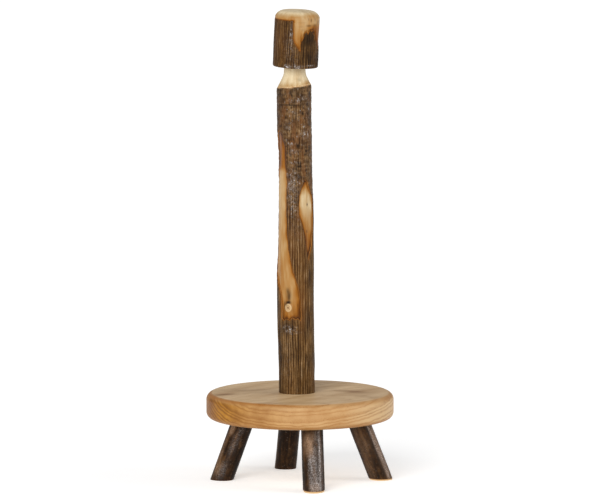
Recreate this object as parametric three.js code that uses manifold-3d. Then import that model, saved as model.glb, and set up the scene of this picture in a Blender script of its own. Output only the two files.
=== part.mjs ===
// Rustic paper towel holder: a stick post with its bark on, standing on a round plank with
// four splayed stick legs. A short log cap lifts off the tenon at the top of the post, so
// that a roll can be dropped over it.
//
// Lengths are in millimetres and angles in degrees. +Z is up, -Y is the front, and +X is on
// the right of someone who looks at the front. The origin is on the floor, under the centre
// of the plank. A bearing is measured from the front towards +X.

import * as THREE from "three";
import { mergeVertices } from "three/addons/utils/BufferGeometryUtils.js";
import Module from "manifold-3d";

const wasm = await Module();
wasm.setup();

// Fits
const SEAT_GAP = 0.3; // between two faces that rest on each other
const BARK_GAP = 0.3; // between a stick's wood and its bark
const CAP_CLEARANCE = 0.35; // all round the tenon in the cap's bore
const DRILL_SPARE = 1.0; // a blind hole's depth beyond what goes in it

// Plank
const BASE_DIAMETER = 177.8;
const BASE_THICKNESS = 24.3;
const BASE_ROUND = 6.35; // router round-over, on both edges
const BASE_UNDERSIDE = 59.5; // height above the floor

// Legs
const LEG_DIAMETER = 21.0; // over the bark
const LEG_BARK = 1.2;
const LEG_TENON_DIAMETER = 15.9;
const LEG_TENON_LENGTH = 17.0; // along the leg, from the plank's underside
const FOOT_CHAMFER = 1.0; // the bark stops this far above the floor
// Each leg meets the plank's underside at a bearing and a distance from the centre, and
// splays outwards along a heading of its own.
const LEGS = [
  { name: "leg_front", bearing: 11.5, circle: 56.0, heading: 4.6, splay: 20.5 },
  { name: "leg_right", bearing: 90, circle: 54.1, heading: 90, splay: 21.1 },
  { name: "leg_back", bearing: 189.2, circle: 52.6, heading: 196, splay: 19.0 },
  { name: "leg_left", bearing: 270, circle: 52.4, heading: 270, splay: 19.9 },
];

// Post
const POST_FOOT_DIAMETER = 33.8; // over the bark
const POST_HEAD_DIAMETER = 32.6;
const POST_BARK = 1.6;
const POST_BARK_LENGTH = 290.1;
const POST_OFFSET = -3.0; // along X, from the plank's centre
const POST_LEAN = 0.37; // towards -X
const NECK_LENGTH = 20.3; // bare wood between the post's bark and the cap
const NECK_SLOPE = 27.5; // the tenon cutter's cone, from the post's axis
const NECK_BLEND = 9.0; // radius of the hollow between the cone and the tenon
const TENON_DIAMETER = 20.0;
const TENON_LENGTH = 29.0; // inside the cap

// Cap
const CAP_DIAMETER = 42.4; // over the bark
const CAP_LENGTH = 53.0;
const CAP_BARK = 2.0;
const CAP_BARK_LENGTH = 45.5; // the top above it is sanded bare
const CAP_ROUND = 8.0; // sanded top edge
const CAP_EASE = 1.2; // sanded bottom edge
const CAP_OFFSET = 0.6; // along X: the bore is this far off centre, and
const CAP_TILT_RIGHT = 2.8; // this far off square
const CAP_TILT_FORWARD = 1.5;

// Screw through the plank into the post
const SCREW_DIAMETER = 6.3;
const SCREW_ROOT = 4.4;
const SCREW_LENGTH = 63.5;
const SCREW_PITCH = 2.8;
const SCREW_HEAD_DIAMETER = 12.2;
const SCREW_HEAD_ANGLE = 82;
const SCREW_POINT = 7.0;
const SCREW_RECESS_DEPTH = 3.2;
const SCREW_RECESS_SPAN = 6.6;
const SCREW_RECESS_SLOT = 1.5;
const SCREW_CLEARANCE = 0.4;

// Facets
const BASE_SIDES = 96;
const POST_SIDES = 44;
const LEG_SIDES = 32;
const SCREW_SIDES = 20;

// Where the bark was peeled: bearing in degrees, then height as a share of the bark's length.
const POST_STRIP = [
  [-100, 0.36], [-108, 0.6], [-100, 0.82], [-72, 0.85], [-42, 0.81], [-34, 0.66], [-31, 0.52],
  [-16, 0.42], [8, 0.33], [15, 0.28], [8, 0.25], [-18, 0.245], [-44, 0.255], [-56, 0.3], [-80, 0.34],
];
const POST_LEAF = [
  [34, 0.7], [20, 0.66], [13, 0.61], [17, 0.57], [29, 0.52], [45, 0.44], [62, 0.47], [73, 0.54],
  [73, 0.62], [57, 0.67],
];
const CAP_FLANK = [
  [-7, 1.1], [-8, 0.85], [-4, 0.6], [8, 0.37], [17, 0.54], [32, 0.63], [48, 0.62], [66, 0.5],
  [88, 0.54], [102, 0.8], [103, 1.1],
];
const PEEL_IN = 0.34; // a peeling cut runs between these shares of the stick's radius, far
const PEEL_OUT = 2.5; // enough apart for its flat facets to clear the bark on both sides

const BARK_BROWN = new THREE.MeshStandardMaterial({ color: 0x5a432c, roughness: 0.75 });
const BARK_DARK = new THREE.MeshStandardMaterial({ color: 0x3a2a20, roughness: 0.6 });
const SAPWOOD = new THREE.MeshStandardMaterial({ color: 0xdcc096, roughness: 0.55 });
const PLANK_WOOD = new THREE.MeshStandardMaterial({ color: 0xc9965a, roughness: 0.5 });
const ZINC = new THREE.MeshStandardMaterial({ color: 0xb4b6b8, roughness: 0.35, metalness: 1 });

const rad = THREE.MathUtils.degToRad;
const baseTop = BASE_UNDERSIDE + BASE_THICKNESS;
const postFootRadius = POST_FOOT_DIAMETER / 2;
const postHeadRadius = POST_HEAD_DIAMETER / 2;
const tenonRadius = TENON_DIAMETER / 2;
const capRadius = CAP_DIAMETER / 2;

// A closed three.js geometry as a solid that can be joined and cut.
function solid(geometry, placement = new THREE.Matrix4()) {
  const loose = geometry.index ? geometry.toNonIndexed() : geometry.clone();
  loose.applyMatrix4(placement);
  loose.deleteAttribute("normal");
  loose.deleteAttribute("uv");
  const merged = mergeVertices(loose, 1e-4);
  return new wasm.Manifold(
    new wasm.Mesh({
      numProp: 3,
      vertProperties: merged.attributes.position.array,
      triVerts: new Uint32Array(merged.index.array),
    }),
  );
}

// The named mesh of a finished solid.
function piece(name, finished, material) {
  const { vertProperties, triVerts } = finished.getMesh();
  const geometry = new THREE.BufferGeometry();
  geometry.setAttribute("position", new THREE.BufferAttribute(vertProperties.slice(), 3));
  geometry.setIndex(new THREE.BufferAttribute(triVerts.slice(), 1));
  geometry.computeVertexNormals();
  const mesh = new THREE.Mesh(geometry, material);
  mesh.name = name;
  return mesh;
}

// A profile of [radius, height] points turned about +Z. It runs upwards from axis to axis.
function turned(profile, sides) {
  const points = profile.map(([radius, height]) => new THREE.Vector2(radius, height));
  return new THREE.LatheGeometry(points, sides).rotateX(Math.PI / 2);
}

// A round bar about +Z from one height to another, with its own radius at each end.
function bar(low, high, lowRadius, highRadius, sides) {
  return turned([[0, low], [lowRadius, low], [highRadius, high], [0, high]], sides);
}

// Points along an arc in a profile, from one angle to another.
function arc(centreRadius, centreHeight, radius, from, to, steps) {
  return Array.from({ length: steps + 1 }, (_, i) => {
    const angle = rad(from + ((to - from) * i) / steps);
    return [centreRadius + radius * Math.cos(angle), centreHeight + radius * Math.sin(angle)];
  });
}

// Everything between two heights, for trimming what stands at an angle.
function slab(low, high) {
  const box = new THREE.BoxGeometry(2 * BASE_DIAMETER, 2 * BASE_DIAMETER, high - low);
  return solid(box.translate(0, 0, (low + high) / 2));
}

// The cut that peels one patch of bark from a stick. The outline is drawn flat, as bearing
// across and height up, and is then wrapped round the stick so that its walls are radial.
function peelCut(outline, radius, length) {
  const points = outline.map(([bearing, share]) => new THREE.Vector2(rad(bearing), share * length));
  const shape = new THREE.Shape();
  shape.moveTo(points[0].x, points[0].y);
  shape.splineThru([...points.slice(1), points[0]]);
  const cut = new THREE.ExtrudeGeometry(shape, {
    depth: radius * (PEEL_OUT - PEEL_IN),
    curveSegments: 3,
    bevelEnabled: false,
  });
  const place = cut.attributes.position;
  for (let i = 0; i < place.count; i++) {
    const bearing = place.getX(i);
    const reach = radius * PEEL_IN + place.getZ(i);
    place.setXYZ(i, reach * Math.sin(bearing), -reach * Math.cos(bearing), place.getY(i));
  }
  return cut;
}

// Where the post's own axis stands: on the plank, a little off centre, with a slight lean.
const postPlace = new THREE.Matrix4()
  .makeTranslation(POST_OFFSET, 0, baseTop + SEAT_GAP)
  .multiply(new THREE.Matrix4().makeRotationY(rad(-POST_LEAN)));

// The cap's own axis starts where the neck ends and tilts off the post's.
const capSeat = POST_BARK_LENGTH + NECK_LENGTH;
const capPlace = postPlace
  .clone()
  .multiply(new THREE.Matrix4().makeTranslation(CAP_OFFSET, 0, capSeat))
  .multiply(new THREE.Matrix4().makeRotationY(rad(CAP_TILT_RIGHT)))
  .multiply(new THREE.Matrix4().makeRotationX(rad(CAP_TILT_FORWARD)));

// A leg's own axis starts at the plank's underside and runs down and outwards.
function legPlace({ bearing, circle, heading, splay }) {
  return new THREE.Matrix4()
    .makeRotationZ(rad(bearing))
    .multiply(new THREE.Matrix4().makeTranslation(0, -circle, BASE_UNDERSIDE))
    .multiply(new THREE.Matrix4().makeRotationZ(rad(heading - bearing)))
    .multiply(new THREE.Matrix4().makeRotationX(rad(-splay)));
}

// The screw stands upright under the post, with its head flush in the plank's underside.
const screwPlace = new THREE.Matrix4().makeTranslation(POST_OFFSET, 0, BASE_UNDERSIDE + SEAT_GAP);
const screwHeadDepth = (SCREW_HEAD_DIAMETER - SCREW_ROOT) / 2 / Math.tan(rad(SCREW_HEAD_ANGLE / 2));

function makePlank() {
  const radius = BASE_DIAMETER / 2;
  const flat = radius - BASE_ROUND;
  const profile = [
    [0, BASE_UNDERSIDE],
    ...arc(flat, BASE_UNDERSIDE + BASE_ROUND, BASE_ROUND, -90, 0, 5),
    ...arc(flat, baseTop - BASE_ROUND, BASE_ROUND, 0, 90, 5),
    [0, baseTop],
  ];
  let plank = solid(turned(profile, BASE_SIDES));
  for (const leg of LEGS) {
    const radius = LEG_TENON_DIAMETER / 2 + SEAT_GAP;
    const mortise = bar(-LEG_DIAMETER, LEG_TENON_LENGTH + DRILL_SPARE, radius, radius, LEG_SIDES);
    plank = plank.subtract(solid(mortise, legPlace(leg)));
  }
  return plank.subtract(solid(screwHole(), screwPlace));
}

// The plank's hole for the screw: a clearance hole with a countersunk mouth.
function screwHole() {
  const shank = SCREW_DIAMETER / 2 + SCREW_CLEARANCE;
  const mouth = SCREW_HEAD_DIAMETER / 2 + SCREW_CLEARANCE;
  const slope = Math.tan(rad(SCREW_HEAD_ANGLE / 2));
  const below = SEAT_GAP + DRILL_SPARE;
  return turned(
    [
      [0, -below],
      [mouth + below * slope, -below],
      [shank, (mouth - shank) / slope],
      [shank, BASE_THICKNESS + below],
      [0, BASE_THICKNESS + below],
    ],
    SCREW_SIDES,
  );
}

function makeScrew() {
  const root = SCREW_ROOT / 2;
  const crest = SCREW_DIAMETER / 2;
  const threads = Math.floor((SCREW_LENGTH - screwHeadDepth - SCREW_POINT) / SCREW_PITCH);
  const profile = [[0, 0], [SCREW_HEAD_DIAMETER / 2, 0], [root, screwHeadDepth]];
  for (let i = 1; i <= threads; i++) {
    const end = screwHeadDepth + i * SCREW_PITCH;
    profile.push([crest, end - SCREW_PITCH / 3], [root, end]);
  }
  profile.push([0, SCREW_LENGTH]);
  let screw = solid(turned(profile, SCREW_SIDES), screwPlace);
  for (const turn of [45, 135]) {
    const slot = new THREE.BoxGeometry(SCREW_RECESS_SPAN, SCREW_RECESS_SLOT, 2 * SCREW_RECESS_DEPTH);
    screw = screw.subtract(solid(slot.rotateZ(rad(turn)), screwPlace));
  }
  return screw;
}

// A leg's wood runs from the floor into its mortise, and its bark stops at the plank.
function makeLeg(leg) {
  const place = legPlace(leg);
  const outer = LEG_DIAMETER / 2;
  const reach = (2 * BASE_UNDERSIDE) / Math.cos(rad(leg.splay));
  const under = BASE_UNDERSIDE - SEAT_GAP;
  const core = (radius) => solid(bar(-reach, LEG_DIAMETER, radius, radius, LEG_SIDES), place);
  const tenonRadius = LEG_TENON_DIAMETER / 2;
  const tenon = solid(bar(-LEG_DIAMETER, LEG_TENON_LENGTH, tenonRadius, tenonRadius, LEG_SIDES), place)
    .intersect(slab(under, baseTop));
  const wood = core(outer - LEG_BARK - BARK_GAP).intersect(slab(0, under)).add(tenon);
  const aroundTenon = core(tenonRadius + BARK_GAP).intersect(slab(under - BARK_GAP, baseTop));
  const bark = core(outer)
    .subtract(core(outer - LEG_BARK))
    .intersect(slab(FOOT_CHAMFER, under))
    .subtract(aroundTenon);
  return [wood, bark];
}

// The post's outline over the bark: a slight taper, then the cutter's cone, hollow and tenon.
function postProfile() {
  const coneHeight = (r) => POST_BARK_LENGTH + (postHeadRadius - r) / Math.tan(rad(NECK_SLOPE));
  const blendStart = tenonRadius + NECK_BLEND * (1 - Math.cos(rad(NECK_SLOPE)));
  const blendCentre = coneHeight(blendStart) + NECK_BLEND * Math.sin(rad(NECK_SLOPE));
  const top = capSeat + TENON_LENGTH;
  return [
    [0, 0],
    [postFootRadius, 0],
    [postHeadRadius, POST_BARK_LENGTH],
    ...arc(tenonRadius + NECK_BLEND, blendCentre, NECK_BLEND, 180 + NECK_SLOPE, 180, 4),
    [tenonRadius, top - 1],
    [tenonRadius - 1, top],
    [0, top],
  ];
}

// The tapered bar inside the post, at a given depth under the outside of the bark.
function postCore(depth) {
  const foot = postFootRadius - depth;
  const head = postHeadRadius - depth;
  const beyond = 2 * (NECK_LENGTH + TENON_LENGTH);
  const growth = ((foot - head) * beyond) / POST_BARK_LENGTH;
  return bar(-beyond, POST_BARK_LENGTH + beyond, foot + growth, head - growth, POST_SIDES);
}

function makePost() {
  const outer = solid(turned(postProfile(), POST_SIDES), postPlace);
  const pilotRadius = SCREW_DIAMETER / 2 + SEAT_GAP;
  const pilotTop = SCREW_LENGTH + DRILL_SPARE;
  const pilot = bar(0, pilotTop, pilotRadius, pilotRadius, SCREW_SIDES);
  const wood = outer
    .intersect(solid(postCore(POST_BARK + BARK_GAP), postPlace))
    .subtract(solid(pilot, screwPlace));
  let bark = outer.subtract(solid(postCore(POST_BARK), postPlace));
  for (const outline of [POST_STRIP, POST_LEAF]) {
    bark = bark.subtract(solid(peelCut(outline, postFootRadius, POST_BARK_LENGTH), postPlace));
  }
  return [wood, bark];
}

// The cap's outer body is tilted, and its bore follows the post's tenon.
function makeCap() {
  const profile = [
    [0, 0],
    ...arc(capRadius - CAP_EASE, CAP_EASE, CAP_EASE, -90, 0, 2),
    ...arc(capRadius - CAP_ROUND, CAP_LENGTH - CAP_ROUND, CAP_ROUND, 0, 90, 6),
    [0, CAP_LENGTH],
  ];
  const outer = solid(turned(profile, POST_SIDES), capPlace);
  const core = (radius) =>
    solid(bar(-CAP_ROUND, CAP_LENGTH + CAP_ROUND, radius, radius, POST_SIDES), capPlace);
  const boreRadius = tenonRadius + CAP_CLEARANCE;
  const boreTop = capSeat + TENON_LENGTH + SEAT_GAP;
  const bore = solid(bar(POST_BARK_LENGTH, boreTop, boreRadius, boreRadius, POST_SIDES), postPlace);
  const bareTop = (start) =>
    solid(bar(start, CAP_LENGTH + CAP_ROUND, 2 * capRadius, 2 * capRadius, POST_SIDES), capPlace);
  const wood = outer
    .intersect(core(capRadius - CAP_BARK - BARK_GAP).add(bareTop(CAP_BARK_LENGTH + BARK_GAP)))
    .subtract(bore);
  const bark = outer
    .subtract(core(capRadius - CAP_BARK))
    .subtract(bareTop(CAP_BARK_LENGTH))
    .subtract(solid(peelCut(CAP_FLANK, capRadius, CAP_LENGTH), capPlace));
  return [wood, bark];
}

const holder = new THREE.Group();
holder.add(piece("base_plank", makePlank(), PLANK_WOOD));
holder.add(piece("post_screw", makeScrew(), ZINC));

for (const leg of LEGS) {
  const [wood, bark] = makeLeg(leg);
  holder.add(piece(`${leg.name}_wood`, wood, SAPWOOD));
  holder.add(piece(`${leg.name}_bark`, bark, BARK_DARK));
}

const [postWood, postBark] = makePost();
holder.add(piece("post_wood", postWood, SAPWOOD));
holder.add(piece("post_bark", postBark, BARK_BROWN));

const [capWood, capBark] = makeCap();
holder.add(piece("cap_wood", capWood, SAPWOOD));
holder.add(piece("cap_bark", capBark, BARK_BROWN));

export default holder;
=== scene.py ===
import itertools
import math

import bmesh
import bpy
import numpy as np
from mathutils import Matrix, Vector


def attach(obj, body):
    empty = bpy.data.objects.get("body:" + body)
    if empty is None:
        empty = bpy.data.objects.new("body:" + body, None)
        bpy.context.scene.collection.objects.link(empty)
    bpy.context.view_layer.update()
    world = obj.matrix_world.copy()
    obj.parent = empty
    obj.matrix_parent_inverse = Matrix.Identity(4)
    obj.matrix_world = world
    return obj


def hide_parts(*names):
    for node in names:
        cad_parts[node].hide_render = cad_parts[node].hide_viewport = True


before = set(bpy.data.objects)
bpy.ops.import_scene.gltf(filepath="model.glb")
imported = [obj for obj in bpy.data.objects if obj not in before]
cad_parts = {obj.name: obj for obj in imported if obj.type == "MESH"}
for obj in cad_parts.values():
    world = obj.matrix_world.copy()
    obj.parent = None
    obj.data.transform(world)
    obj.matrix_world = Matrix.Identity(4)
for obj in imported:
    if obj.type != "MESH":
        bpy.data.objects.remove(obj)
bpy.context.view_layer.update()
MM = 0.001


# ---------------------------------------------------------------------------------------
# Base plank: one round of flat-sawn ash, turned to size, with both edges rounded over on a
# router. It is sanded and lacquered, and is bored from below for the legs and the screw.
# ---------------------------------------------------------------------------------------

BASE_RADIUS = 88.9 * MM
BASE_UNDERSIDE = 59.5 * MM
BASE_TOP = 83.8 * MM
BASE_ROUND = 6.35 * MM
BASE_SIDES = 224
POST_X = -3.0 * MM  # the post stands this far off the plank's centre

# Each leg: name, bearing from the front towards +X, distance out at the underside, the
# heading it splays along, and its splay.
LEGS = [
    ("leg_front", 11.5, 56.0 * MM, 4.6, 20.5),
    ("leg_right", 90.0, 54.1 * MM, 90.0, 21.1),
    ("leg_back", 189.2, 52.6 * MM, 196.0, 19.0),
    ("leg_left", 270.0, 52.4 * MM, 270.0, 19.9),
]
TENON_RADIUS = 7.95 * MM
TENON_LENGTH = 17.0 * MM
MORTISE_SPARE = 1.0 * MM
GLUE_LINE = 0.08 * MM
HEAD_RADIUS = 6.1 * MM
SHANK_RADIUS = 3.55 * MM
HEAD_DEPTH = 4.6 * MM
HEAD_SPARE = 0.4 * MM
DRILL_SIDES = 64
DRILL_LENGTH = 60 * MM
RUN_OUT = 2 * MM  # the countersink cutter starts this far below the plank


def add(kind, name, **where):
    """Adds a primitive with nothing else selected, and names it."""
    bpy.ops.object.select_all(action="DESELECT")
    getattr(bpy.ops.mesh, f"primitive_{kind}_add")(**where)
    piece = bpy.context.object
    piece.name = piece.data.name = name
    return piece


def pick(kind, test):
    """In edit mode, selects only the vertices, edges or faces that pass the test."""
    bpy.ops.mesh.select_mode(type=kind)
    bpy.ops.mesh.select_all(action="DESELECT")
    mesh = bmesh.from_edit_mesh(bpy.context.object.data)
    for part in {"VERT": mesh.verts, "EDGE": mesh.edges, "FACE": mesh.faces}[kind]:
        if test(part):
            part.select_set(True)
    mesh.select_flush_mode()
    bmesh.update_edit_mesh(bpy.context.object.data)


def choose(piece):
    """Selects one piece and nothing else, and makes it the active one."""
    bpy.ops.object.select_all(action="DESELECT")
    piece.select_set(True)
    bpy.context.view_layer.objects.active = piece


def edit(piece, on=True):
    """Goes into or out of edit mode on one piece."""
    if on:
        choose(piece)
    bpy.ops.object.mode_set(mode="EDIT" if on else "OBJECT")


def settle(piece, placement=Matrix.Identity(4)):
    """Puts a piece's place and turn into its mesh, and leaves the object at the origin."""
    piece.data.transform(placement @ piece.matrix_basis)
    piece.matrix_basis = Matrix.Identity(4)


def cut(piece, tool, how="DIFFERENCE"):
    """Cuts one piece with another by a Boolean modifier, and throws the tool away."""
    choose(piece)
    boolean = piece.modifiers.new("cut", "BOOLEAN")
    boolean.object = tool
    boolean.operation = how
    boolean.solver = "MANIFOLD"
    bpy.ops.object.modifier_apply(modifier=boolean.name)
    bpy.data.objects.remove(tool)


def dress(piece, material, angle):
    """Gives a piece its material, and shades it smooth apart from edges above this angle."""
    piece.data.materials.clear()
    piece.data.materials.append(material)
    choose(piece)
    bpy.ops.object.shade_smooth_by_angle(angle=math.radians(angle))


def leg_frame(bearing, out, heading, splay):
    """A leg's own frame: it starts at the plank's underside and -Z runs down the leg."""
    return (
        Matrix.Rotation(math.radians(bearing), 4, "Z")
        @ Matrix.Translation((0, -out, BASE_UNDERSIDE))
        @ Matrix.Rotation(math.radians(heading - bearing), 4, "Z")
        @ Matrix.Rotation(math.radians(-splay), 4, "X")
    )


base = add(
    "cylinder",
    "base_plank_turned",
    vertices=BASE_SIDES,
    radius=BASE_RADIUS,
    depth=BASE_TOP - BASE_UNDERSIDE,
    location=(0, 0, (BASE_TOP + BASE_UNDERSIDE) / 2),
)
settle(base)
edit(base)
pick("EDGE", lambda e: abs(e.verts[0].co.z - e.verts[1].co.z) < 1e-6)
bpy.ops.mesh.bevel(offset=BASE_ROUND, segments=9, profile=0.5, affect="EDGES")
pick("FACE", lambda f: abs(f.normal.z) > 0.999)
bpy.ops.mesh.inset(thickness=1.2 * MM)
bpy.ops.mesh.inset(thickness=30 * MM)
edit(base, False)

for name, bearing, out, heading, splay in LEGS:
    drill = add(
        "cylinder",
        "drill",
        vertices=DRILL_SIDES,
        radius=TENON_RADIUS + GLUE_LINE,
        depth=DRILL_LENGTH,
        location=(0, 0, TENON_LENGTH + MORTISE_SPARE - DRILL_LENGTH / 2),
    )
    settle(drill, leg_frame(bearing, out, heading, splay))
    cut(base, drill)

drill = add("cylinder", "drill", vertices=DRILL_SIDES, radius=SHANK_RADIUS, depth=80 * MM)
settle(drill, Matrix.Translation((POST_X, 0, BASE_UNDERSIDE)))
cut(base, drill)
countersink = add(
    "cone",
    "countersink",
    vertices=DRILL_SIDES,
    radius1=HEAD_RADIUS + HEAD_SPARE + RUN_OUT,
    radius2=SHANK_RADIUS - 0.5 * MM,
    depth=HEAD_DEPTH + RUN_OUT,
    location=(POST_X, 0, BASE_UNDERSIDE + (HEAD_DEPTH - RUN_OUT) / 2),
)
settle(countersink)
cut(base, countersink)


def srgb(red, green, blue):
    """A colour given as on a paint chart, 0 to 255, as the linear values that nodes take."""
    share = [channel / 255 for channel in (red, green, blue)]
    linear = [s / 12.92 if s <= 0.04045 else ((s + 0.055) / 1.055) ** 2.4 for s in share]
    return (*linear, 1)


class Nodes:
    """Short names for wiring up a material's nodes. In a ramp or a mix, a colour is given as
    on a paint chart."""

    def __init__(self, name):
        self.material = bpy.data.materials.new(name)
        self.material.use_nodes = True
        self.tree = self.material.node_tree
        self.shader = self.tree.nodes["Principled BSDF"]
        self.place = self.tree.nodes.new("ShaderNodeTexCoord").outputs["Object"]

    def link(self, value, socket):
        if isinstance(value, bpy.types.NodeSocket):
            self.tree.links.new(value, socket)
        else:
            socket.default_value = value

    def math(self, operation, a, b=0.0, c=0.0, clamp=False):
        node = self.tree.nodes.new("ShaderNodeMath")
        node.operation = operation
        node.use_clamp = clamp
        for value, socket in zip((a, b, c), node.inputs):
            self.link(value, socket)
        return node.outputs[0]

    def node(self, kind, **inputs):
        """Adds a node, and sets or links the inputs that are given."""
        node = self.tree.nodes.new(f"ShaderNode{kind}")
        for name, value in inputs.items():
            self.link(value, node.inputs[name])
        return node

    def times(self, a, b):
        return self.math("MULTIPLY", a, b)

    def sway(self, value, noise, amount):
        """Moves a value up and down by a noise whose middle is a half."""
        return self.math("MULTIPLY_ADD", self.math("SUBTRACT", noise, 0.5), amount, value)

    def dot(self, vector, other):
        node = self.node("VectorMath")
        node.operation = "DOT_PRODUCT"
        self.link(vector, node.inputs[0])
        self.link(other, node.inputs[1])
        return node.outputs["Value"]

    def scaled(self, vector, scale, turn=(0, 0, 0)):
        return self.node("Mapping", Vector=vector, Scale=scale, Rotation=turn).outputs[0]

    def nearness(self, place, size, heading):
        """1 in the middle of a soft oval lying on the plank, and 0 outside it."""
        oval = self.node("Mapping", Vector=self.place, Rotation=(0, 0, heading))
        oval.vector_type = "TEXTURE"
        self.link((*place, 0), oval.inputs["Location"])
        self.link((*size, 1), oval.inputs["Scale"])
        away = self.node("VectorMath")
        away.operation = "LENGTH"
        self.link(oval.outputs[0], away.inputs[0])
        return self.ramp(away.outputs["Value"], [(0.2, 1.0), (1.0, 0.0)], smooth=True)

    def noise(self, vector, scale, detail=3.0, rough=0.5):
        node = self.node("TexNoise", Vector=vector, Scale=scale, Detail=detail, Roughness=rough)
        return node.outputs["Fac"]

    def wander(self, along, scale, detail=2.0):
        node = self.node("TexNoise", Scale=scale, Detail=detail)
        node.noise_dimensions = "1D"
        self.link(along, node.inputs["W"])
        return node.outputs["Fac"]

    def ramp(self, value, stops, smooth=False):
        node = self.node("ValToRGB", Fac=value)
        node.color_ramp.interpolation = "EASE" if smooth else "LINEAR"
        elements = node.color_ramp.elements
        while len(elements) < len(stops):
            elements.new(0.5)
        for element, (at, colour) in zip(elements, stops):
            element.position = at
            element.color = srgb(*colour) if isinstance(colour, tuple) else (colour,) * 3 + (1,)
        return node.outputs["Color"]

    def mix(self, share, a, b):
        node = self.node("Mix")
        node.data_type = "RGBA"
        for value, socket in ((share, "Factor"), (a, "A"), (b, "B")):
            value = srgb(*value) if isinstance(value, tuple) else value
            self.link(value, [s for s in node.inputs if s.name == socket and s.enabled][0])
        return [s for s in node.outputs if s.enabled][0]

    def painted(self, name):
        node = self.node("Attribute")
        node.attribute_name = name
        return node.outputs["Fac"]

    def bump(self, height, strength, distance):
        node = self.node("Bump", Strength=strength, Distance=distance, Height=height)
        self.link(node.outputs["Normal"], self.shader.inputs["Normal"])

    def surface(self, **values):
        for name, value in values.items():
            self.link(value, self.shader.inputs[name.replace("_", " ")])
        return self.material


# Growth rings lie in shallow troughs along the grain, and climb a little along it. The
# plank is darkest where the grain ends come out at the edge, and they drink the lacquer.
GRAIN_HEADING = math.radians(50)
RING_TROUGH = 67 * MM
RING_RADIUS = 270 * MM
RING_CLIMB = 0.12
RING_PITCH = 4.1 * MM
AMBER_SIDE = (-0.97, -0.26, 0.0)  # the lacquer has gone in darkest on this side
PALE_SIDE = (0.92, -0.4, 0.0)
# Brown streaks on the plank's top: place, half length and half width, heading, strength.
TOP_STREAKS = [
    ((60 * MM, -4 * MM), (40 * MM, 30 * MM), 2.6, 0.3),
    ((-70 * MM, -16 * MM), (20 * MM, 9 * MM), 0.35, 0.9),
    ((-48 * MM, 12 * MM), (30 * MM, 8 * MM), 0.3, 0.35),
    ((46 * MM, 6 * MM), (30 * MM, 11 * MM), 2.6, 0.8),
    ((66 * MM, -30 * MM), (22 * MM, 12 * MM), 2.4, 0.4),
    ((20 * MM, 62 * MM), (36 * MM, 12 * MM), 0.5, 0.45),
    ((-20 * MM, -72 * MM), (40 * MM, 5 * MM), 0.1, 0.35),
]
along_grain = (math.cos(GRAIN_HEADING), math.sin(GRAIN_HEADING), 0.0)
across_grain = (math.sin(GRAIN_HEADING), -math.cos(GRAIN_HEADING), 0.0)


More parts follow.
